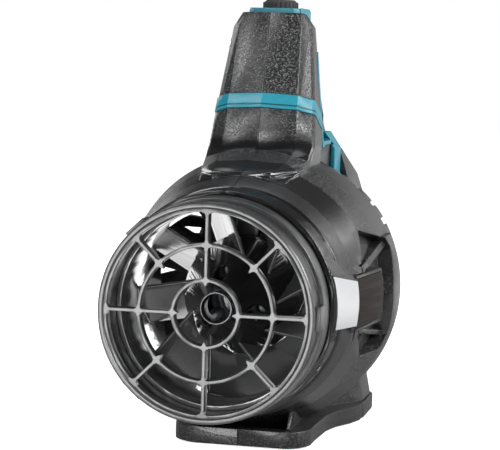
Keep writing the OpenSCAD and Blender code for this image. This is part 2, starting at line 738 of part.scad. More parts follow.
module grip_form(i = 0) loft([
    grip_ring([177, top_z], [178, up(61)], 24, i),
    grip_ring([196, top_z], [189, up(62)], 21.5, i),
    grip_ring([214, top_z - 1], [194, up(62)], grip_half_w + 2, i),
    grip_ring([236, up(76)], [199, up(55)], grip_half_w, i),
    grip_ring([250, up(54)], [207, up(43)], grip_half_w, i),
    grip_ring([264, up(35)], [217, up(30)], grip_half_w, i),
    grip_ring([280, up(17)], [228, up(17)], grip_half_w + 0.5, i),
    grip_ring([293, up(4)], [236, up(4)], grip_half_w + 2, i),
    grip_ring([303, up(-14)], [243, up(-14)], grip_half_w + 4, i)]);

dock_end = 331;

// Everything below the deck and the dock's sloping top
module below_deck() across(-far, far)
    polygon([[0, 0], [0, deck_z], [262, deck_z], [dock_end, dock_z + 16], [dock_end + 9, dock_z + 16], [dock_end + 9, 0]]);

// The finger opening seen from the side, grown by g
module opening_outline(g = 0) polygon([
    [182.5 - g, deck_z + liner_t - g], [238 + g * 2.2, deck_z + liner_t - g],
    [230.5 + g, up(17)], [219 + g, up(30) + g * 0.4], [208.5 + g, up(43) + g * 0.4], [200 + g, up(56) + g],
    [193.5 + g * 0.5, up(61) + g], [187.5 - g, up(60) + g], [184.5 - g, up(46)]]);

bezel_outline = [[-13, 168], [13, 168], [18, 175], [18, 204], [11, 212], [-11, 212], [-18, 204], [-18, 175]];
bezel_floor = top_z - 6.6;
bezel_top = top_z + 3.2;
dial_y = 190;
trigger_pivot = [209, up(57)];

module trigger_slot() across(-trigger_half_w - 0.6, trigger_half_w + 0.6)
    translate([0, trigger_pivot[1]]) polygon([[190, 6], [213, 7.5], [232, -6], [232, -35], [212, -38], [190, -18]]);

module handle_boss(side) {
    translate([side < 0 ? -30 : trigger_half_w + 0.6, trigger_pivot[0], trigger_pivot[1]])
        rotate([0, 90, 0]) cylinder(h = 30 - trigger_half_w - 0.6, r = 5);
    translate([side < 0 ? -30 : 9, 236, trigger_pivot[1] - 31]) cube([21, 10, 16]);
}

module handle(side) difference() {
    intersection() {
        union() {
            difference() {
                union() {
                    post_form();
                    grip_form();
                }
                post_form(shell_t);
                grip_form(shell_t);
            }
            intersection() {
                union() {
                    for (p = handle_screw_places) screw_post(p);
                    handle_boss(side);
                    translate([-30, 164, bezel_floor - 2.4]) cube([60, 52, 2.4]);
                }
                union() {
                    post_form(1);
                    grip_form(1);
                }
            }
        }
        half_space(side);
    }
    intersection() {
        neck_space(band_h / 2, false);
        translate([-far / 2, 0, 0]) cube([far, 205, far]);
    }
    below_deck();
    translate([-40, 246, deck_z - 1]) cube([80, 15.6, 3]);
    across(-far, far) opening_outline(liner_t);
    translate([0, 0, bezel_floor]) linear_extrude(20) polygon(bezel_outline);
    translate([0, dial_y, bezel_floor - 6]) cylinder(h = 10, r = 4);
    trigger_slot();
    translate([0, trigger_pivot[0], trigger_pivot[1]]) rotate([0, 90, 0])
        cylinder(h = 27, r = pin_r + 0.02, center = true);
    for (p = handle_screw_places) screw_cut(p);
}

module handle_left() color(shell_black) in_place() handle(-1);

module handle_right() color(shell_black) in_place() handle(1);

module handle_screws() color(steel) in_place() side_screws(handle_screw_places);

module handle_liner() color(teal) in_place() difference() {
    intersection() {
        across(-far, far) opening_outline(liner_t - 0.05);
        union() {
            loft([for (z = [crown_z - 15, top_z - 9]) post_ring(z, -0.7)]);
            grip_form(-0.7);
            across(-28, 28) polygon([[179, deck_z], [179, deck_z + 4], [242, deck_z + 4], [242, deck_z]]);
        }
    }
    across(-far, far) opening_outline();
    trigger_slot();
    below_deck();
}

module base_band() color(teal) in_place() {
    difference() {
        translate([0, 261.8, 0]) rotate([90, 0, 0]) linear_extrude(24)
            translate([0, crown_z]) polygon([[-31.5, -20], [-31.5, -1.5], [-24, 9.5], [24, 9.5], [31.5, -1.5], [31.5, -20]]);
        grip_form(-0.02);
        across(-28.2, 28.2) polygon([[200, 0], [200, deck_z + 0.02], [280, deck_z + 0.02], [280, 0]]);
        cover_outer(0.5);
        across(-far, far) opening_outline(liner_t);
    }
    translate([-27, 246.2, deck_z + 0.02]) cube([54, 15.2, 1.9]);
}

module grip_pad() color(rubber_black) in_place() intersection() {
    difference() {
        grip_form(-1.1);
        grip_form(-0.02);
    }
    across(-far, far) polygon([[232, up(66)], [250, up(80)], [310, up(29)], [282, up(10)], [262, up(21)],
        [250, up(30)], [238, up(46)]]);
}

// ---------- controls ----------

module trigger() color([0.10, 0.10, 0.11]) in_place() difference() {
    union() {
        across(-trigger_half_w, trigger_half_w) translate([0, trigger_pivot[1]]) polygon([
            [206, 4.4], [201, -1], [196.5, -7], [197.5, -13.5], [203.5, -21], [211, -30.5],
            [215, -32.5], [222, -29], [224.5, -23], [219, -11], [213.6, 2]]);
        translate([0, trigger_pivot[0], trigger_pivot[1]]) rotate([0, 90, 0])
            cylinder(h = 2 * trigger_half_w, r = 5, center = true);
    }
    translate([0, trigger_pivot[0], trigger_pivot[1]]) rotate([0, 90, 0])
        cylinder(h = 40, r = pin_r + run_gap, center = true);
    translate([-3.4, trigger_pivot[0] - 4.2, trigger_pivot[1] - 4.2]) cube([6.8, 22, 14]);
    across(-trigger_half_w + 2, trigger_half_w - 2) translate([0, trigger_pivot[1]])
        polygon([[206, -10], [210, -18], [216, -26], [223, -17], [216, -9]]);
}

module trigger_pin() color(steel) in_place() translate([0, trigger_pivot[0], trigger_pivot[1]])
    rotate([0, 90, 0]) cylinder(h = 26.5, r = pin_r, center = true);

module trigger_spring() color(steel) in_place() translate([0, trigger_pivot[0], trigger_pivot[1]])
    rotate([0, 90, 0]) difference() {
        cylinder(h = 6, r = 3.8, center = true);
        cylinder(h = 7, r = pin_r + 0.1, center = true);
    }

module trigger_switch() color([0.2, 0.2, 0.2]) in_place()
    translate([-8.9, 233.5, trigger_pivot[1] - 35]) cube([17.8, 15, 22]);

module dial_bezel() color(teal) in_place() difference() {
    translate([0, 0, bezel_floor + 0.02]) linear_extrude(bezel_top - bezel_floor) polygon(bezel_outline);
    translate([0, dial_y, bezel_floor + 2]) cylinder(h = 20, r = dial_r + 0.9);
    translate([0, dial_y, bezel_floor - 1]) cylinder(h = 20, r = 3 + run_gap);
    for (sx = [-1, 1]) translate([sx * 18, 190, bezel_top]) rotate([0, 45, 0]) cube([1.6, 80, 1.6], center = true);
}

module speed_dial() color(rubber_black) in_place() translate([0, dial_y, 0]) {
    z0 = bezel_floor + 2.4;
    z1 = bezel_top + dial_h;
    translate([0, 0, bezel_floor - 6]) cylinder(h = 12, r = 3);
    rotate_extrude() polygon([[0, z0], [dial_r - 0.4, z0], [dial_r - 0.4, z1 - 2], [dial_r - 2.6, z1], [0, z1]]);
    for (k = [0 : dial_ribs - 1]) rotate([0, 0, k * 360 / dial_ribs])
        translate([dial_r - 1.6, -0.5, z0]) cube([1.6, 1, z1 - z0 - 1.6]);
}

module dial_sensor() color([0.2, 0.2, 0.2]) in_place() difference() {
    sensor_h = up(11.9) - deck_z;
    translate([-7, dial_y - 7, bezel_floor - 2.5 - sensor_h]) cube([14, 14, sensor_h]);
    translate([0, dial_y, bezel_floor - 7]) cylinder(h = 20, r = 3 + run_gap);
}

// ---------- electronics ----------

module control_board_plate(g = 0) translate([-25.5 - g, 165 - g, deck_z - 6])
    cube([51 + 2 * g, 1.6 + 2 * g, up(56) - deck_z + 6]);

module control_board() color([0.10, 0.33, 0.20]) in_place() {
    control_board_plate();
    for (x = [-16, -2, 12]) translate([x, 166.6, deck_z + 30]) cube([8, 5, 12]);
}

module board_heatsink() color([0.6, 0.6, 0.62]) in_place() {
    translate([-16, 162, deck_z + 18]) cube([32, 3, 30]);
    for (k = [0 : 6]) translate([-16 + k * 5, 154, deck_z + 18]) cube([2, 8 + eps, 30]);
}

// A straight run of wire between two joints, each a little thicker than the wire
module wire_piece(a, b, r) {
    d = b - a;
    translate(a) rotate([0, acos(d[2] / norm(d)), atan2(d[1], d[0])])
        translate([0, 0, 0.5]) cylinder(h = norm(d) - 1, r = r, $fn = 36);
}

module motor_leads() color([0.6, 0.08, 0.06]) in_place() for (x = [-3.8, 0, 3.8]) {
    path = [[x, 116, axis_z + motor_r + 1.8], [x, 116, crown_z - 11], [x, 128, crown_z - 5.5],
        [x, 152, crown_z - 3.5], [x, 162.6, crown_z + 1]];
    for (k = [0 : 3]) wire_piece(path[k], path[k + 1], 1.3);
    for (p = path) translate(p) sphere(1.7, $fn = 36);
}

// ---------- battery dock and pack ----------

cell_rows = 5;
cell_len = 65;
cell_pitch = (pack_len - 30.4) / (cell_rows - 1);
latch_back = pack_len - 18.5;
hook_y = 48;

pack_front = cover_end + 3.2;
case_z0 = axis_z - 30;
case_z1 = case_z0 + pack_h - 2;
lid_top = dock_z - slide_gap;
rail_z = case_z1 + 9;
lip_z = case_z1 + 2.2 + slide_gap;
stem_half_w = rail_half_w - 3.5;

module battery_dock() color(shell_black) in_place() difference() {
    union() {
        across(-28, 28) polygon([[body_end + 0.1, crown_z - 25], [body_end + 0.1, deck_z], [262, deck_z],
            [270, crown_z - 25]]);
        intersection() {
            across(-37, 37) polygon([[262, dock_z + 16], [262, deck_z], [dock_end, dock_z + 16], [dock_end, dock_z],
                                     [cover_end + 0.6, dock_z]]);
            translate([0, 400, 0]) rotate([90, 0, 0]) linear_extrude(200)
                polygon([[-37, dock_z - 34], [-37, deck_z - 23], [-30, deck_z], [30, deck_z],
                    [37, deck_z - 23], [37, dock_z - 34]]);
        }
        for (sx = [-1, 1]) scale([sx, 1, 1]) {
            translate([rail_half_w + slide_gap, pack_front, lip_z])
                cube([37 - rail_half_w - slide_gap, dock_end - pack_front, dock_z - lip_z + 1]);
            translate([stem_half_w + slide_gap, pack_front, lip_z])
                cube([37 - stem_half_w - slide_gap, dock_end - pack_front, rail_z - slide_gap - lip_z]);
        }
    }
    cover_outer(0.5);
    across(-30, 30) polygon([[276, dock_z + 4.5], [276, deck_z - 12], [327, dock_z + 14.5], [327, dock_z + 4.5]]);
    across(-25.5, 25.5) translate([0, deck_z]) polygon([[230, -3.5], [262, -3.5], [280, -13], [280, -36],
        [274, -30], [262, -14.5], [248, -10], [230, -6.5]]);
    translate([-20, 276, dock_z - 1]) cube([40, 26, 9]);
    translate([-7, pack_front + hook_y - 1.2, dock_z - 1]) cube([14, 40, 3.9]);
    translate([-22.3, pack_front - 3, dock_z - 30]) cube([44.6, 2.9, 34]);
}

module dock_terminals() color([0.72, 0.58, 0.25]) in_place() {
    translate([-22, cover_end + 0.7, lip_z]) cube([44, 2, dock_z + 3.5 - lip_z]);
    for (x = [-16, -5, 5, 16]) translate([x - 0.6, cover_end + 2, dock_z - 7]) cube([1.2, 12, 5]);
}

module pack_plan(i = 0) translate([0, pack_front + pack_len / 2]) rounded([pack_w - 2 * i, pack_len - 2 * i], 8 - i);

module battery_case() color(shell_black) in_place() difference() {
    union() {
        translate([0, 0, case_z0 + 3]) linear_extrude(case_z1 - case_z0 - 3) pack_plan();
        translate([0, 0, case_z0]) linear_extrude(4) pack_plan(2.2);
    }
    translate([0, 0, case_z0 + pack_t]) linear_extrude(60) pack_plan(pack_t + 0.6);
}

module battery_lid() color([0.16, 0.16, 0.17]) in_place() difference() {
    union() {
        translate([0, 0, case_z1]) linear_extrude(2.2) pack_plan();
        translate([-stem_half_w, pack_front, case_z1]) cube([2 * stem_half_w, pack_len - 3, lid_top - case_z1]);
        translate([-rail_half_w, pack_front, rail_z]) cube([2 * rail_half_w, pack_len - 3, lid_top - rail_z]);
        translate([-14, pack_front + latch_back - 1.5, case_z1 - 8]) cube([28, 17, 9]);
    }
    translate([-rail_half_w + 6, pack_front + 16, case_z1 - 1]) cube([2 * rail_half_w - 12, 28, lid_top - case_z1 - 2]);
    translate([-12.5, pack_front + latch_back - 0.5, case_z1 - 6]) cube([25, 15, 40]);
    translate([-6.5, pack_front + hook_y - 1, lid_top - 8]) cube([13, latch_back - hook_y + 4.5, 10]);
    for (x = [-16, -5, 5, 16]) translate([x - 1.7, pack_front - 1, dock_z - 8]) cube([3.4, 14, 7]);
}

module battery_latch() color(teal) in_place() {
    translate([-12, pack_front + latch_back, case_z1 + 1]) cube([24, 14, lid_top - case_z1 + 0.6]);
    translate([-6, pack_front + hook_y, lid_top - 3.4]) cube([12, latch_back - hook_y + 0.5, 3]);
    translate([-6, pack_front + hook_y, lid_top - 3.4]) cube([12, 5, 6]);
}

module latch_spring() color(steel) in_place() translate([0, pack_front + latch_back + 7, case_z1 - 6]) difference() {
    cylinder(h = 7, r = 3.4);
    translate([0, 0, -1]) cylinder(h = 9, r = 2.5);
}

module battery_cells() color([0.15, 0.35, 0.45]) in_place() for (row = [0, 1], k = [0 : cell_rows - 1])
    translate([0, pack_front + 15.2 + k * cell_pitch, case_z0 + pack_t + cell_r + 0.1 + row * (2 * cell_r + 0.2)])
        rotate([0, 90, 0]) cylinder(h = cell_len, r = cell_r, center = true);

module battery_terminals() color([0.72, 0.58, 0.25]) in_place() for (x = [-16, -5, 5, 16])
    translate([x - 1.6, pack_front + 9, dock_z - 7.9]) difference() {
        cube([3.2, 3.9, 6.8]);
        translate([0.65, -1, -1]) cube([1.9, 4, 9]);
    }

module foot_sole() color(rubber_black) in_place() linear_extrude(sole_t) foot_plan(3.2);

outlet_collar();
collar_seal();
outlet_grille();
stator_duct();
nose_cone();
nose_screws();
motor_can();
motor_coils();
motor_rotor();
motor_shaft();
bearing_front();
bearing_rear();
motor_screws();
fan();
fan_nut();
fan_spinner();
housing_left();
housing_right();
housing_screws();
intake_cover();
label_left();
label_right();
neck_band();
handle_left();
handle_right();
handle_screws();
handle_liner();
base_band();
grip_pad();
trigger();
trigger_pin();
trigger_spring();
trigger_switch();
dial_bezel();
speed_dial();
dial_sensor();
control_board();
board_heatsink();
motor_leads();
battery_dock();
dock_terminals();
battery_case();
battery_lid();
battery_cells();
battery_terminals();
battery_latch();
latch_spring();
foot_sole();
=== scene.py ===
import json
import math

import bmesh
import bpy
from mathutils import Matrix, Vector


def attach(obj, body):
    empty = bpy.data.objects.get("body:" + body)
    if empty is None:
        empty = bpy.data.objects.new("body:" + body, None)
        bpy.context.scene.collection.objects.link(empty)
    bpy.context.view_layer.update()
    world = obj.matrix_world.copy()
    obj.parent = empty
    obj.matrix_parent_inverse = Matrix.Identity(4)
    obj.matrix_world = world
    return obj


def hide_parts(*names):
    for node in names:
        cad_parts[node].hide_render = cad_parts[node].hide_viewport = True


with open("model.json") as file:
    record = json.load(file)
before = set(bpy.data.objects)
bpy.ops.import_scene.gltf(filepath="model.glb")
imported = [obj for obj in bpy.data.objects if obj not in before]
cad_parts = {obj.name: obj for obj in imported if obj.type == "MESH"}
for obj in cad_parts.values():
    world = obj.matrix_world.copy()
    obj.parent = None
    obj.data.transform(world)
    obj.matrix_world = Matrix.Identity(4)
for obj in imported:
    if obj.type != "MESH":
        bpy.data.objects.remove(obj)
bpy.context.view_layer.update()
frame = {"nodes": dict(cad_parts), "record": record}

# Lengths are worked out in millimetres. Along Y they are counted from the outlet rim, which lies
# 178 mm in front of the frame's origin. The duct's axis is 96 mm over the ground.
MM = 0.001
RIM_Y = -178.0
AXIS_Z = 96.0


def place(x, y, z):
    return Vector((x, y + RIM_Y, z)) * MM


def depth(y):
    """A distance from the outlet rim as a Y coordinate of the frame."""
    return (y + RIM_Y) * MM


# ---------- camera ----------

camera_data = bpy.data.cameras.new("camera")
camera = bpy.data.objects.new("camera", camera_data)
bpy.context.scene.collection.objects.link(camera)
camera_data.lens = 128.22
camera_data.sensor_width = 36
camera_data.clip_start, camera_data.clip_end = 0.1, 20
camera_at = Vector((0.2425, -1.1579, 0.2363))
camera_to = Vector((0.005355, -0.088, 0.140528))
camera_turn = (camera_to - camera_at).to_track_quat("-Z", "Y").to_matrix().to_4x4()
camera.matrix_world = Matrix.Translation(camera_at) @ camera_turn @ Matrix.Rotation(math.radians(1.6), 4, "Z")
bpy.context.scene.camera = camera
bpy.context.scene.view_settings.view_transform = "Standard"

# ---------- finishes ----------


class Value:
    """A shader number that can be reckoned with."""

    def __init__(self, finish, socket):
        self.finish, self.socket = finish, socket

    def reckon(self, operation, a, b):
        return self.finish.node("ShaderNodeMath", {"operation": operation}, {0: a, 1: b})

    def __add__(self, other):
        return self.reckon("ADD", self, other)

    __radd__ = __add__

    def __sub__(self, other):
        return self.reckon("SUBTRACT", self, other)

    def __rsub__(self, other):
        return self.reckon("SUBTRACT", other, self)

    def __mul__(self, other):
        return self.reckon("MULTIPLY", self, other)

    __rmul__ = __mul__

    def __pow__(self, other):
        return self.reckon("POWER", self, other)

    def __gt__(self, other):
        return self.reckon("GREATER_THAN", self, other)

    def __lt__(self, other):
        return self.reckon("LESS_THAN", self, other)


class Finish:
    """One material, its nodes and its shader."""

    def __init__(self, name, metallic=0.0, coat=0.0, ior=1.5):
        self.material = bpy.data.materials.new(name)
        self.material.use_nodes = True
        self.tree = self.material.node_tree
        self.shader = self.tree.nodes["Principled BSDF"]
        self.give(self.shader, {"Metallic": metallic, "Coat Weight": coat, "Coat Roughness": 0.1, "IOR": ior})

    def give(self, node, inputs):
        for key, value in inputs.items():
            if isinstance(value, Value):
                self.tree.links.new(value.socket, node.inputs[key])
            elif isinstance(value, tuple) and len(value) == 3 and node.inputs[key].type == "RGBA":
                node.inputs[key].default_value = (*value, 1)
            else:
                node.inputs[key].default_value = value

    def node(self, kind, settings, inputs, output=0):
        made = self.tree.nodes.new(kind)
        for key, value in settings.items():
            setattr(made, key, value)
        self.give(made, inputs)
        return Value(self, made.outputs[output])

    def spot(self):
        """Object coordinates."""
        return self.node("ShaderNodeTexCoord", {}, {}, "Object")

    def parts(self):
        """The three object coordinates as numbers."""
        split = self.tree.nodes.new("ShaderNodeSeparateXYZ")
        self.tree.links.new(self.spot().socket, split.inputs[0])
        return [Value(self, split.outputs[k]) for k in range(3)]

    def noise(self, grains_per_metre, detail=2.0, roughness=0.5, stretch=(1, 1, 1)):
        moved = self.node("ShaderNodeMapping", {}, {"Vector": self.spot(), "Scale": stretch})
        return self.node("ShaderNodeTexNoise", {}, {"Vector": moved, "Scale": grains_per_metre,
                                                    "Detail": detail, "Roughness": roughness}, "Fac")

    def cells(self, cells_per_metre, feature="F1", output="Distance"):
        return self.node("ShaderNodeTexVoronoi", {"feature": feature},
                         {"Vector": self.spot(), "Scale": cells_per_metre}, output)

    def step(self, value, low, high):
        """0 below low, 1 above high, smooth between them."""
        return self.node("ShaderNodeMapRange", {"interpolation_type": "SMOOTHSTEP"},
                         {"Value": value, "From Min": low, "From Max": high})

    def mix(self, a, b, share):
        """From colour a to colour b."""
        return self.node("ShaderNodeMix", {"data_type": "RGBA"}, {0: share, 6: a, 7: b}, 2)

    def bumped(self, height, metres):
        self.give(self.shader, {"Normal": self.node("ShaderNodeBump", {}, {"Height": height, "Distance": metres,
                                                                           "Strength": 1.0})})

    def coloured(self, colour, roughness):
        self.give(self.shader, {"Base Color": colour, "Roughness": roughness})
        return self.material


def grained_shell():
    """Moulded nylon: spark grain on the neck and foot, whose glints are painted into the colour as light
    specks; satin cone, coarse flank, glossy front band.
    """
    f = Finish("shell_black")
    x, y, z = f.parts()
    up = z - AXIS_Z * MM
    radius = (x * x + up * up) ** 0.5
    on_body = (radius < 0.0898) * (y < depth(178.5))
    band = on_body * (y < depth(66.8))
    satin = on_body * f.step(y, depth(82.4), depth(82.8)) * (1 - f.step(y, depth(109.3), depth(109.7)))
    flank = on_body * f.step(y, depth(109.3), depth(109.7)) * (1 - f.step(y, depth(136.8), depth(137.2)))
    foot = 1 - f.step(z, 0.03, 0.04)
    neck = (1 - on_body) * f.step(z, 0.186, 0.2)
    flare = (1 - on_body) * (1 - f.step(z, 0.186, 0.2)) * f.step(z, 0.162, 0.168) * (y < depth(140))
    fine = f.noise(1500, 3, 0.6)
    coarse = f.noise(820, 2, 0.55)
    cloud = f.noise(22, 3, 0.6)
    wide = f.noise(260, 2, 0.5)
    strong = f.step(flank + foot + neck, 0.0, 1.0)
    smooth = f.step(band + satin + flare, 0.0, 1.0)
    grain = f.step(coarse * 0.5 + fine * 0.5, 0.51, 0.59)
    base = f.mix((0.0035, 0.0035, 0.004), (0.006, 0.0061, 0.0065), cloud)
    # Painted highlights: light specks where the grain is, standing in for glints of light off the spark grain;
    # fewer on the foot, none on the smooth zones.
    glint_speckled = f.mix(base, (0.120, 0.121, 0.124), grain * (0.16 + 0.64 * strong - 0.40 * foot) * (1 - smooth))
    colour = f.mix(glint_speckled, (0.012, 0.0122, 0.0128), satin * (0.35 + 0.35 * wide))
    rough = 0.34 + 0.10 * grain * strong + 0.06 * fine - 0.12 * smooth
    height = (grain * 1.0 + fine * 0.3) * (0.25 + 0.75 * strong) * (1 - 0.95 * smooth)
    f.bumped(height + 0.02 * wide, 0.00022)
    return f.coloured(colour, rough)


def smooth_black(name="gloss_black", tone=0.010, roughness=0.17, peel=0.00003):
    """Polished moulding with a little orange peel and fine rub marks."""
    f = Finish(name, ior=1.55)
    peeled = f.noise(170, 2, 0.5)
    rubs = f.noise(420, 3, 0.65, (1, 7, 1))
    dust = f.step(f.noise(1300, 2, 0.5), 0.62, 0.74)
    f.bumped(peeled + 0.15 * rubs, peel)
    colour = f.mix((tone, tone, tone * 1.06), (tone * 1.9, tone * 1.92, tone * 2.0), dust * 0.35 + 0.2 * peeled)
    return f.coloured(colour, roughness - 0.05 + 0.14 * rubs + 0.08 * dust)


def guard_moulding():
    """Satin moulding of the guard and the collar, with lighter dusty patches at random."""
    f = Finish("guard_black", ior=1.62)
    peeled = f.noise(300, 2, 0.5)
    fine = f.noise(1600, 2, 0.6)
    dust = f.step(f.noise(900, 3, 0.6), 0.50, 0.70)
    f.bumped(peeled * 0.6 + fine * 0.3, 0.00004)
    return f.coloured(f.mix((0.013, 0.013, 0.0135), (0.045, 0.0455, 0.047), dust * 0.5 + 0.25 * peeled),
                      0.27 + 0.12 * fine)


def polished_duct():
    """Inside of the duct: polished mould, so it mirrors what stands behind the fan."""
    f = Finish("duct_black", ior=1.75)
    flow = f.noise(60, 2, 0.5, (1, 0.3, 1))
    rubs = f.noise(420, 3, 0.65, (1, 7, 1))
    dust = f.step(f.noise(1300, 2, 0.5), 0.60, 0.74)
    f.bumped(flow + 0.08 * rubs, 0.00012)
    return f.coloured(f.mix((0.034, 0.034, 0.035), (0.070, 0.0705, 0.073), dust * 0.4 + 0.6 * flow),
                      0.11 + 0.08 * rubs + 0.05 * dust)


def teal_moulding():
    """Teal trim with fine grain; the neck's band has a shallow groove over its lower edge, with shade painted
    dark into it.
    """
    f = Finish("teal_plastic")
    x, y, z = f.parts()
    across = (z - 0.217) * math.cos(math.radians(18.5)) + (y - depth(138.2)) * math.sin(math.radians(18.5))
    on_neck = (y < depth(200)) * (z > 0.2) * (z < 0.235)
    groove = on_neck * f.step(across, -0.0031, -0.0028) * (1 - f.step(across, -0.0023, -0.0020))
    grain = f.noise(1400, 3, 0.6)
    cloud = f.noise(30, 2, 0.5)
    base = f.mix((0.002, 0.140, 0.190), (0.003, 0.170, 0.228), cloud)
    worn = f.mix(base, (0.008, 0.240, 0.300), f.step(grain, 0.52, 0.72) * 0.6)
    f.bumped(grain * 0.35 - groove * 2.0, 0.00025)
    # Painted shade: the groove is coloured dark teal, the way shade in it would look.
    return f.coloured(f.mix(worn, (0.002, 0.030, 0.042), groove * 0.9), 0.40 + 0.12 * grain)


def soft_rubber(name="rubber_black", ribbed=False):
    """Matte rubber; the grip's skin has small raised dots."""
    f = Finish(name, ior=1.45)
    grain = f.noise(1100, 3, 0.65)
    cloud = f.noise(40, 2, 0.5)
    height = grain * 0.3
    if ribbed:
        dots = f.cells(360, "F1")
        height = height + f.step(dots, 0.15, 0.5) * -1.6
    f.bumped(height, 0.0003)
    return f.coloured(f.mix((0.016, 0.016, 0.017), (0.034, 0.034, 0.035), cloud * 0.6 + grain * 0.4),
                      0.66 + 0.16 * grain)


def glass_filled():
    """Fan nylon: fibres show as faint streaks."""
    f = Finish("fan_plastic", ior=1.52)
    fibres = f.noise(700, 3, 0.6, (1, 1, 5))
    cloud = f.noise(30, 2, 0.5)
    f.bumped(fibres, 0.00006)
    return f.coloured(f.mix((0.022, 0.022, 0.024), (0.052, 0.052, 0.055), fibres * 0.7 + cloud * 0.3),
                      0.26 + 0.2 * fibres)


def turned_metal(name, tone, roughness, grain=900, stretch=(1, 1, 1)):
    """Bare or plated metal with fine tool marks and faint stains."""
    f = Finish(name, 1.0)
    marks = f.noise(grain, 4, 0.65, stretch)
    cloud = f.noise(60, 3, 0.6)
    stained = tuple(c * 0.775 for c in tone)
    f.bumped(marks, 0.00004)
    return f.coloured(f.mix(stained, tone, f.step(cloud * 0.5 + marks * 0.5, 0.3, 0.6)),
                      roughness - 0.06 + 0.2 * marks)


def blackened_steel():
    """Motor parts, with the faint rings of stacked sheets."""
    f = Finish("motor_steel", 0.85)
    x, y, z = f.parts()
    layers = f.node("ShaderNodeMath", {"operation": "SINE"}, {0: y * 9000.0})
    spots = f.noise(500, 3, 0.6)
    f.bumped(layers * 0.3 + spots, 0.00008)
    return f.coloured(f.mix((0.06, 0.06, 0.065), (0.16, 0.16, 0.17), spots * 0.7 + layers * 0.12),
                      0.34 + 0.2 * spots)


def copper_winding():
    """Varnished wire, wound along the motor."""
    f = Finish("copper", 1.0, coat=0.6)
    x, y, z = f.parts()
    up = z - AXIS_Z * MM
    turn = f.node("ShaderNodeMath", {"operation": "ARCTAN2"}, {0: up, 1: x})
    wires = f.node("ShaderNodeMath", {"operation": "SINE"}, {0: turn * 120.0})
    stain = f.noise(160, 3, 0.6)
    f.bumped(wires * 0.5 + stain * 0.2, 0.00025)
    colour = f.mix((0.30, 0.10, 0.035), (0.72, 0.30, 0.12), f.step(wires * 0.4 + stain * 0.6, 0.0, 0.6))
    return f.coloured(colour, 0.24 + 0.2 * stain)


def plain_label():
    """Bare label plate: dark brown black film with a fine matte grain."""
    f = Finish("label_dark", ior=1.28)
    weave = f.noise(1900, 2, 0.5)
    cloud = f.noise(35, 3, 0.6)
    f.bumped(weave * 0.6 + cloud * 0.3, 0.00004)
    return f.coloured(f.mix((0.006, 0.0045, 0.004), (0.016, 0.012, 0.010), cloud * 0.6 + weave * 0.4),
                      0.62 + 0.14 * weave)


def silver_facing():
    """Satin silver coat on the facets in front of the label plates, with a fine dot grain."""
    f = Finish("silver_facing", 0.85)
    dots = f.cells(1500)
    cloud = f.noise(30, 2, 0.5)
    f.bumped(dots, 0.00003)
    share = f.step(dots, 0.15, 0.55) * 0.6 + cloud * 0.4
    return f.coloured(f.mix((0.48, 0.485, 0.495), (0.62, 0.625, 0.635), share), 0.32 + 0.14 * dots)


def circuit_board():
    """Green lacquer over a net of copper tracks."""
    f = Finish("board_green", coat=0.4)
    tracks = f.cells(260, "DISTANCE_TO_EDGE", "Distance")
    cloud = f.noise(120, 2, 0.5)
    line = 1 - f.step(tracks, 0.03, 0.06)
    f.bumped(line + cloud * 0.1, 0.00005)
    return f.coloured(f.mix(f.mix((0.008, 0.050, 0.024), (0.012, 0.085, 0.038), cloud), (0.10, 0.15, 0.05),
                            line * 0.7), 0.28 + 0.1 * cloud)


def drawn_plastic(name, low, high, roughness=0.4, grain=900, rings=0.0):
    """Plain small mouldings, wire and wrap: cloudy colour, fine grain and, on wire, faint drawing rings."""
    f = Finish(name)
    x, y, z = f.parts()
    speck = f.noise(grain, 3, 0.6)
    cloud = f.noise(45, 2, 0.5)
    height = speck * 0.5
    if rings:
        height = height + f.node("ShaderNodeMath", {"operation": "SINE"}, {0: y * rings}) * 0.3
    f.bumped(height, 0.00006)
    return f.coloured(f.mix(low, high, cloud * 0.6 + speck * 0.4), roughness - 0.05 + 0.12 * speck)


finishes = {
    "shell_black": grained_shell(),
    "gloss_black": smooth_black(),
    "teal_plastic": teal_moulding(),
    "rubber_black": soft_rubber(),
    "fan_plastic": glass_filled(),
    "steel": turned_metal("steel", (0.56, 0.57, 0.59), 0.28),
    "motor_steel": blackened_steel(),
    "copper": copper_winding(),
    "contact_brass": turned_metal("contact_brass", (0.74, 0.55, 0.24), 0.26, 700),
    "label_dark": plain_label(),
    "heat_aluminium": turned_metal("heat_aluminium", (0.66, 0.67, 0.69), 0.36, 600, (1, 1, 0.06)),
    "board_green": circuit_board(),
    "wire_red": drawn_plastic("wire_red", (0.30, 0.014, 0.010), (0.48, 0.030, 0.022), 0.36, 900, 4200.0),
    "cell_wrap": drawn_plastic("cell_wrap", (0.012, 0.060, 0.085), (0.022, 0.095, 0.130), 0.25, 500),
    "switch_black": drawn_plastic("switch_black", (0.018, 0.018, 0.019), (0.036, 0.036, 0.038), 0.42),
}
grip_rubber = soft_rubber("grip_rubber", ribbed=True)
fine_black = smooth_black("fine_black", 0.017, 0.34, 0.00005)
silver = silver_facing()
guard_black = guard_moulding()
screw_black = turned_metal("screw_black", (0.09, 0.09, 0.095), 0.34)
duct_black = polished_duct()

# ---------- pieces ----------

slots = {part["node"]: part["material_slot"] for part in frame["record"]["subparts"]}
bodies = {node: body for body, nodes in frame["record"]["behaviour"]["bodies"].items() for node in nodes}


def piece(name, mesh_source, body, material, sharp=12):
    """Turns a bmesh into a finished piece: smooth faces, sharp edges over an angle, one material."""
    mesh = bpy.data.meshes.new(name)
    for face in mesh_source.faces:
        face.smooth = True
    for edge in mesh_source.edges:
        edge.smooth = edge.calc_face_angle(0.0) < math.radians(sharp(edge) if callable(sharp) else sharp)
    mesh_source.to_mesh(mesh)
    mesh_source.free()
    made = bpy.data.objects.new(name, mesh)
    bpy.context.scene.collection.objects.link(made)
    mesh.materials.append(material)
    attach(made, body)
    return made


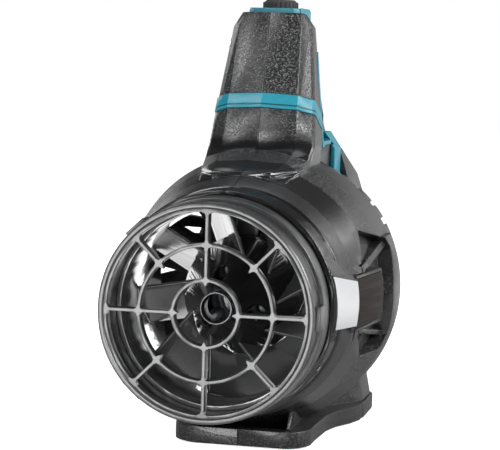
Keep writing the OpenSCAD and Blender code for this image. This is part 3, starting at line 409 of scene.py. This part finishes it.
def rounded(made, width, segments=2):
    """Rounds the sharp edges of a piece. Width is in millimetres."""
    weights = made.data.attributes.new("bevel_weight_edge", "FLOAT", "EDGE")
    for edge, weight in zip(made.data.edges, weights.data):
        weight.value = 1.0 if edge.use_edge_sharp else 0.0
        edge.use_edge_sharp = False
    bevel = made.modifiers.new("rounding", "BEVEL")
    bevel.width = width * MM
    bevel.segments = segments
    bevel.limit_method = "WEIGHT"
    bevel.use_clamp_overlap = False
    bevel.harden_normals = True


def whole(node):
    """A copy of a CAD node with its triangles merged and its flat faces made whole."""
    shape = bmesh.new()
    shape.from_mesh(frame["nodes"][node].data)
    bmesh.ops.remove_doubles(shape, verts=shape.verts, dist=2e-6)
    bmesh.ops.dissolve_limit(shape, angle_limit=math.radians(0.4), verts=shape.verts, edges=shape.edges,
                             use_dissolve_boundaries=False, delimit=set())
    return shape


def crisp_post(edge):
    """Facets stay crisp on the post and the neck; the grip behind them is round, and so is the neck's flare."""
    a, b = edge.verts[0].co, edge.verts[1].co
    middle = (a + b) / 2
    level = abs(a.z - b.z) < 0.35 * (a - b).length
    on_flare = 0.183 < middle.z < 0.201 and depth(90) < middle.y < depth(150)
    if level and on_flare:
        return 60
    before_grip = middle.y < depth(193)
    return 12 if before_grip else 34


def dress(node, material=None, width=0.45, sharp=12, segments=2):
    """Stands a merged and rounded copy in for a CAD node."""
    made = piece(node + "_finished", whole(node), bodies[node],
                 material or finishes[slots[node]], sharp)
    if width:
        rounded(made, width, segments)
    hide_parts(node)
    return made


# How far each node's sharp edges are rounded, in millimetres; the small nodes that aren't named get 0.15
widths = {
    "outlet_collar": 0.25, "collar_seal": 0, "outlet_grille": 0.40, "stator_duct": 0.3, "nose_cone": 0.5,
    "fan": 0.35, "fan_spinner": 0, "housing_left": 0.55, "housing_right": 0.55, "intake_cover": 0.4,
    "label_left": 0.3, "label_right": 0.3, "neck_band": 0.5, "handle_left": 0.6, "handle_right": 0.6,
    "handle_liner": 0.4, "base_band": 0.6, "grip_pad": 0.35, "trigger": 0.6, "dial_bezel": 0.5,
    "speed_dial": 0.25, "battery_dock": 0.7, "battery_case": 0.8, "battery_lid": 0.5, "battery_latch": 0.6,
    "foot_sole": 0.5, "motor_can": 0.5, "board_heatsink": 0.2, "control_board": 0.2, "trigger_switch": 0.5,
    "dial_sensor": 0.4, "dock_terminals": 0.15, "battery_terminals": 0.12,
}
# Nodes whose finish differs from the one of their material slot
own = {"grip_pad": grip_rubber, "nose_cone": finishes["gloss_black"], "battery_lid": fine_black,
       "trigger": fine_black, "nose_screws": screw_black, "stator_duct": duct_black,
       "outlet_grille": guard_black, "outlet_collar": guard_black}
# The angle over which a node's edges count as sharp; nodes that aren't named get 18 degrees
edges = {"handle_left": crisp_post, "handle_right": crisp_post, "housing_left": crisp_post,
         "housing_right": crisp_post, "grip_pad": 34, "handle_liner": 34, "base_band": 30, "fan": 24,
         "speed_dial": 24}
for node in frame["nodes"]:
    dress(node, own.get(node), widths.get(node, 0.15), edges.get(node, 18))


def guard_crossings():
    """Four-pointed gussets with hollow sides where the guard's ribs cross its rings."""
    shape = bmesh.new()
    # Radius of the ring, angle, reach of the points and width at the waist
    crossings = ([(39.6, k * 45, 4.5, 2.0) for k in range(8)] + [(19.4, k * 90, 3.6, 1.8) for k in range(4)]
                 + [(59.2, k * 45, 4.2, 2.0) for k in range(8)])
    thickness = 4.0
    for radius, angle, reach, waist in crossings:
        made = bmesh.ops.create_circle(shape, cap_ends=True, segments=16, radius=reach * MM)
        for v in made["verts"]:
            turn = abs((math.degrees(math.atan2(v.co.y, v.co.x)) + 45) % 90 - 45) / 45
            v.co *= (waist + (reach - waist) * (1 - turn) ** 1.8) / reach
        face = made["verts"][0].link_faces[0]
        top = bmesh.ops.extrude_face_region(shape, geom=[face])
        lifted = [v for v in top["geom"] if isinstance(v, bmesh.types.BMVert)]
        bmesh.ops.translate(shape, verts=lifted, vec=(0, 0, thickness * MM))
        verts = list(set(made["verts"]) | set(lifted))
        if radius > 50:
            # The outer ring's gussets stop inside the collar
            for v in verts:
                v.co.x = min(v.co.x, 1.2 * MM)
        away = math.radians(angle)
        bmesh.ops.rotate(shape, verts=verts, cent=(0, 0, 0), matrix=Matrix.Rotation(away, 3, "Z"))
        out = Vector((math.cos(away), math.sin(away), 0)) * radius * MM
        bmesh.ops.translate(shape, verts=verts, vec=out)
    bmesh.ops.rotate(shape, verts=shape.verts, cent=(0, 0, 0), matrix=Matrix.Rotation(math.radians(90), 3, "X"))
    bmesh.ops.translate(shape, verts=shape.verts, vec=place(0, 4.5, AXIS_Z))
    bmesh.ops.recalc_face_normals(shape, faces=shape.faces)
    made = piece("guard_crossings", shape, "power_head", guard_black, 40)
    rounded(made, 0.25)
    return made


# Edges of the facing's outline: distance from the rim, lower and upper height over the axis
FACING_FRONT = (44.0, -11.0, 20.4)
FACING_BACK = (80.2, -13.1, 14.2)


def wedge_radius(y):
    """Radius of the cone that the label bed and the wedge in front of it lie on."""
    return 69.4 + (y - 43.0) * 7.0 / 37.5


def label_facing(side):
    """Thin silver plate on the wedge in front of a label plate, curved round the duct's axis."""
    shape = bmesh.new()
    bmesh.ops.create_grid(shape, x_segments=1, y_segments=16, size=1.0)
    for v in shape.verts:
        along, across = (v.co.x + 1) / 2, (v.co.y + 1) / 2
        y, lower, upper = (a + (b - a) * along for a, b in zip(FACING_FRONT, FACING_BACK))
        lift = lower + (upper - lower) * across
        v.co = Vector((math.sqrt(wedge_radius(y) ** 2 - lift * lift) - 0.1, y, lift))
    for face in shape.faces:
        if face.normal.x < 0:
            face.normal_flip()
    top = bmesh.ops.extrude_face_region(shape, geom=list(shape.faces))
    for v in top["geom"]:
        if isinstance(v, bmesh.types.BMVert):
            v.co += Vector((v.co.x, -13.0, v.co.z)).normalized() * 0.5
    for v in shape.verts:
        v.co = place(v.co.x * side, v.co.y, v.co.z + AXIS_Z)
    bmesh.ops.recalc_face_normals(shape, faces=shape.faces)
    made = piece("label_facing_" + ("left" if side < 0 else "right"), shape, "power_head", silver)
    rounded(made, 0.2)
    return made


guard_crossings()
label_facing(-1)
label_facing(1)

# ---------- stage ----------


def studio_floor():
    """White to the camera, with the object's shadow; grey in reflections close by and white far away."""
    f = Finish("floor_pale")
    ray = f.tree.nodes.new("ShaderNodeLightPath")
    seen, glossy = Value(f, ray.outputs["Is Camera Ray"]), Value(f, ray.outputs["Is Glossy Ray"])
    cloud = f.noise(3, 2, 0.5)
    x, y, z = f.parts()
    away = f.step((x * x + y * y) ** 0.5, 0.22, 0.7)
    lit = seen * (0.62 + 0.38 * away) + glossy * away
    f.give(f.shader, {"Emission Strength": 1.0, "Emission Color": f.mix((0.0, 0.0, 0.0), (1.0, 1.0, 1.0), lit)})
    pale = f.mix((0.82, 0.82, 0.82), (0.84, 0.84, 0.84), cloud)
    return f.coloured(f.mix(pale, (0.40, 0.40, 0.40), glossy), 0.9)


shape = bmesh.new()
bmesh.ops.create_grid(shape, x_segments=8, y_segments=8, size=6.0)
floor_mesh = bpy.data.meshes.new("floor")
shape.to_mesh(floor_mesh)
shape.free()
floor = bpy.data.objects.new("floor", floor_mesh)
bpy.context.scene.collection.objects.link(floor)
floor_mesh.materials.append(studio_floor())

world = bpy.data.worlds.new("studio")
bpy.context.scene.world = world
world.use_nodes = True
tree = world.node_tree
background = tree.nodes["Background"]
ray = tree.nodes.new("ShaderNodeLightPath")
seen = tree.nodes.new("ShaderNodeMath")
seen.operation = "MAXIMUM"
tree.links.new(ray.outputs["Is Camera Ray"], seen.inputs[0])
tree.links.new(ray.outputs["Is Transmission Ray"], seen.inputs[1])
# A low white backdrop stands behind the object, so glossy rays that leave towards it come back white
aim = tree.nodes.new("ShaderNodeTexCoord")
split = tree.nodes.new("ShaderNodeSeparateXYZ")
tree.links.new(aim.outputs["Generated"], split.inputs[0])
mirrored = ray.outputs["Is Glossy Ray"]
for axis, begin, end in ((0, -0.2, 0.25), (1, 0.45, 0.7), (2, 0.40, 0.28)):
    reach = tree.nodes.new("ShaderNodeMapRange")
    tree.links.new(split.outputs[axis], reach.inputs["Value"])
    reach.inputs["From Min"].default_value, reach.inputs["From Max"].default_value = begin, end
    both = tree.nodes.new("ShaderNodeMath")
    both.operation = "MULTIPLY"
    tree.links.new(mirrored, both.inputs[0])
    tree.links.new(reach.outputs[0], both.inputs[1])
    mirrored = both.outputs[0]
white = tree.nodes.new("ShaderNodeMath")
white.operation = "MAXIMUM"
tree.links.new(seen.outputs[0], white.inputs[0])
tree.links.new(mirrored, white.inputs[1])
sky = tree.nodes.new("ShaderNodeMix")
sky.data_type = "RGBA"
tree.links.new(white.outputs[0], sky.inputs[0])
sky.inputs[6].default_value = (0.07, 0.07, 0.072, 1)
sky.inputs[7].default_value = (1, 1, 1, 1)
tree.links.new(sky.outputs[2], background.inputs["Color"])
background.inputs["Strength"].default_value = 1.0


def softbox(name, at, to, width, height, watts, outline="RECTANGLE"):
    lamp = bpy.data.lights.new(name, "AREA")
    lamp.shape = outline
    lamp.size, lamp.size_y, lamp.energy = width, height, watts
    stand = bpy.data.objects.new(name, lamp)
    bpy.context.scene.collection.objects.link(stand)
    aim = (Vector(to) - Vector(at)).to_track_quat("-Z", "Y").to_matrix().to_4x4()
    stand.matrix_world = Matrix.Translation(Vector(at)) @ aim
    stand.visible_camera = False


softbox("low_box", (-0.055, -0.42, 0.075), (-0.055, 0, 0.075), 0.26, 0.15, 1.2)
softbox("left_front_box", (-0.85, -1.2, 1.19), (0, -0.1, 0.22), 0.55, 0.55, 25)
softbox("right_front_box", (1.52, -0.45, 0.88), (0.06, -0.1, 0.1), 0.5, 0.6, 42)
softbox("top_box", (0.0, 0.7, 1.6), (0, 0, 0.15), 1.0, 0.6, 4)
softbox("right_rear_box", (1.2, 1.05, 0.95), (0.07, -0.08, 0.13), 0.45, 0.45, 5.5)
softbox("left_rear_box", (-1.1, 1.3, 0.5), (0, 0, 0.1), 0.4, 0.6, 3)
# Daylight that comes in through the intake slots, between the motor pod and the fan
softbox("duct_box", place(0, 139.5, AXIS_Z), place(0, 0, AXIS_Z), 0.143, 0.143, 0.14, "ELLIPSE")
